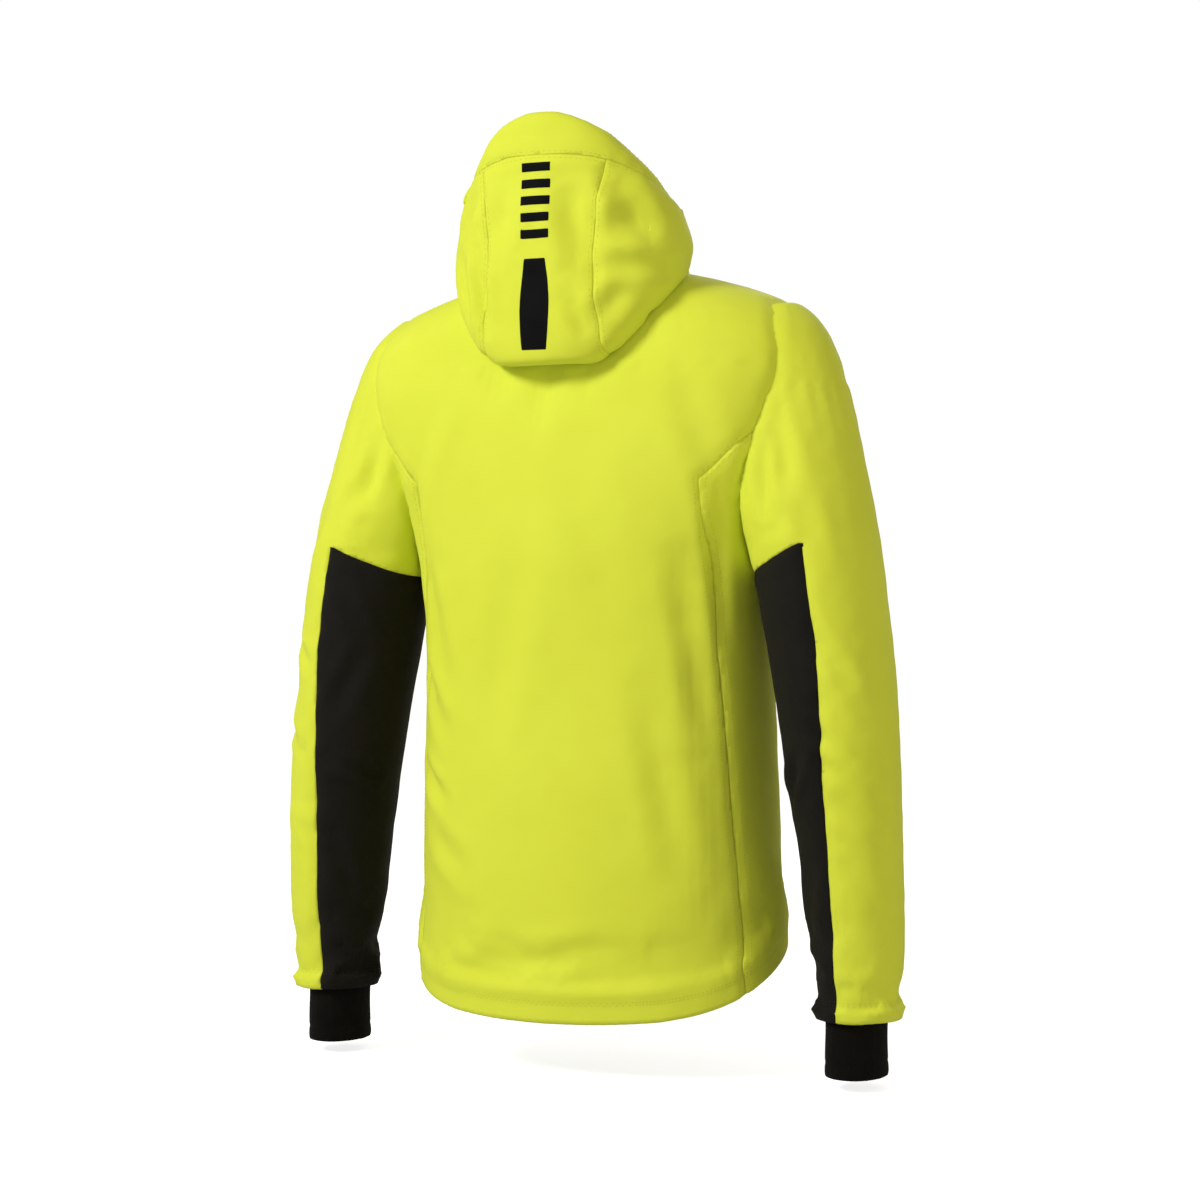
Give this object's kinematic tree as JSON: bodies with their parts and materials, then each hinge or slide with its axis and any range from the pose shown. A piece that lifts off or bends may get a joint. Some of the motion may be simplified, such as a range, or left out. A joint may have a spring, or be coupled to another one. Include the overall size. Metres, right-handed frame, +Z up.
{
  "type": "ski jacket",
  "caption": "Padded hooded ski jacket with a dropped back hem, black inner sleeve panels, wrist gaiters, zipped front and hand pockets.",
  "frame": {"origin": "bearing point of the hanger loop, on the underside of its strap inside the back of the neck", "axes": "+Z up as worn, the front of the jacket faces -Y, +X is the wearer's left"},
  "size_m": [0.656, 0.2874, 0.917],
  "materials": {
    "lime_shell": "matt woven two-layer polyester shell, lime yellow",
    "stretch_black": "matt black stretch woven",
    "gaiter_knit": "black elastane knit",
    "lining": "dark grey brushed tricot",
    "zip_tape": "woven black tape with moulded black teeth",
    "dark_metal": "gunmetal",
    "black_plastic": "moulded acetal",
    "black_cloth": "black woven taffeta"
  },
  "bodies": {
    "jacket": {"back_panel": "lime_shell", "front_panel_left": "lime_shell", "front_panel_right": "lime_shell", "side_panel_left": "lime_shell", "side_panel_right": "lime_shell", "collar": "lime_shell", "collar_lining": "lining", "storm_flap": "black_cloth", "zip_tape_left": "zip_tape", "zip_tape_right": "zip_tape", "zip_retainer_box": "dark_metal", "pocket_zip_left": "zip_tape", "pocket_zip_right": "zip_tape", "pocket_bag_left": "lining", "pocket_bag_right": "lining", "sleeve_cap_left": "lime_shell", "sleeve_cap_right": "lime_shell", "hood_neck_band": "lime_shell", "snow_skirt": "black_cloth", "hanger_loop": "black_cloth", "hem_cord_lock_left": "black_plastic", "hem_cord_lock_right": "black_plastic"},
    "arm_left": {"upper_outer_left": "lime_shell", "upper_inner_left": "stretch_black", "elbow_outer_left": "lime_shell", "elbow_inner_left": "stretch_black"},
    "arm_right": {"upper_outer_right": "lime_shell", "upper_inner_right": "stretch_black", "elbow_outer_right": "lime_shell", "elbow_inner_right": "stretch_black"},
    "forearm_left": {"forearm_outer_left": "lime_shell", "forearm_inner_left": "stretch_black", "wrist_gaiter_left": "gaiter_knit"},
    "forearm_right": {"forearm_outer_right": "lime_shell", "forearm_inner_right": "stretch_black", "wrist_gaiter_right": "gaiter_knit"},
    "hood": {"hood_brim": "lime_shell", "hood_centre_panel": "lime_shell", "hood_side_left": "lime_shell", "hood_side_right": "lime_shell"},
    "front_slider": {"zip_slider": "dark_metal"},
    "front_pull": {"zip_pull": "black_plastic"},
    "pocket_slider_left": {"pocket_slider_left": "dark_metal"},
    "pocket_pull_left": {"pocket_pull_left": "black_plastic"},
    "pocket_slider_right": {"pocket_slider_right": "dark_metal"},
    "pocket_pull_right": {"pocket_pull_right": "black_plastic"},
    "cord_button_left": {"hem_cord_button_left": "black_plastic"},
    "cord_button_right": {"hem_cord_button_right": "black_plastic"}
  },
  "joints": [
    {"name": "shoulder_left", "type": "hinge", "parent": "jacket", "child": "arm_left", "pos_m": [0.205, -0.0351, -0.099], "axis": [0, -1, 0], "range_deg": [0, 45], "deforming": ["sleeve_cap_left"]},
    {"name": "elbow_left", "type": "hinge", "parent": "arm_left", "child": "forearm_left", "pos_m": [0.263, -0.0201, -0.434], "axis": [-1, 0, 0], "range_deg": [0, 60], "deforming": ["elbow_outer_left", "elbow_inner_left"]},
    {"name": "shoulder_right", "type": "hinge", "parent": "jacket", "child": "arm_right", "pos_m": [-0.205, -0.0351, -0.099], "axis": [0, 1, 0], "range_deg": [0, 45], "deforming": ["sleeve_cap_right"]},
    {"name": "elbow_right", "type": "hinge", "parent": "arm_right", "child": "forearm_right", "pos_m": [-0.263, -0.0201, -0.434], "axis": [-1, 0, 0], "range_deg": [0, 60], "deforming": ["elbow_outer_right", "elbow_inner_right"]},
    {"name": "hood_tilt", "type": "hinge", "parent": "jacket", "child": "hood", "pos_m": [0, -0.0641, -0.009], "axis": [1, 0, 0], "range_deg": [0, 55], "deforming": ["hood_neck_band"]},
    {"name": "front_zip", "type": "slide", "parent": "jacket", "child": "front_slider", "axis": [0, -0.0693, -0.9976], "range_m": [0, 0.68]},
    {"name": "front_pull_swing", "type": "hinge", "parent": "front_slider", "child": "front_pull", "pos_m": [0, -0.14713, 0.04282], "axis": [-1, 0, 0], "range_deg": [0, 150]},
    {"name": "pocket_zip_left", "type": "slide", "parent": "jacket", "child": "pocket_slider_left", "axis": [0.2194, 0.0434, -0.9747], "range_m": [0, 0.14]},
    {"name": "pocket_pull_swing_left", "type": "hinge", "parent": "pocket_slider_left", "child": "pocket_pull_left", "pos_m": [0.09716, -0.16321, -0.41159], "axis": [-0.8744, -0.4343, -0.2162], "range_deg": [0, 150]},
    {"name": "cord_button_left", "type": "slide", "parent": "jacket", "child": "cord_button_left", "axis": [0, 0, -1], "range_m": [0, 0.003], "stiffness_N_per_m": 400, "springref_m": -0.001},
    {"name": "pocket_zip_right", "type": "slide", "parent": "jacket", "child": "pocket_slider_right", "axis": [-0.2194, 0.0434, -0.9747], "range_m": [0, 0.14]},
    {"name": "pocket_pull_swing_right", "type": "hinge", "parent": "pocket_slider_right", "child": "pocket_pull_right", "pos_m": [-0.09716, -0.16321, -0.41159], "axis": [-0.8744, 0.4343, 0.2162], "range_deg": [0, 150]},
    {"name": "cord_button_right", "type": "slide", "parent": "jacket", "child": "cord_button_right", "axis": [0, 0, -1], "range_m": [0, 0.003], "stiffness_N_per_m": 400, "springref_m": -0.001}
  ]
}
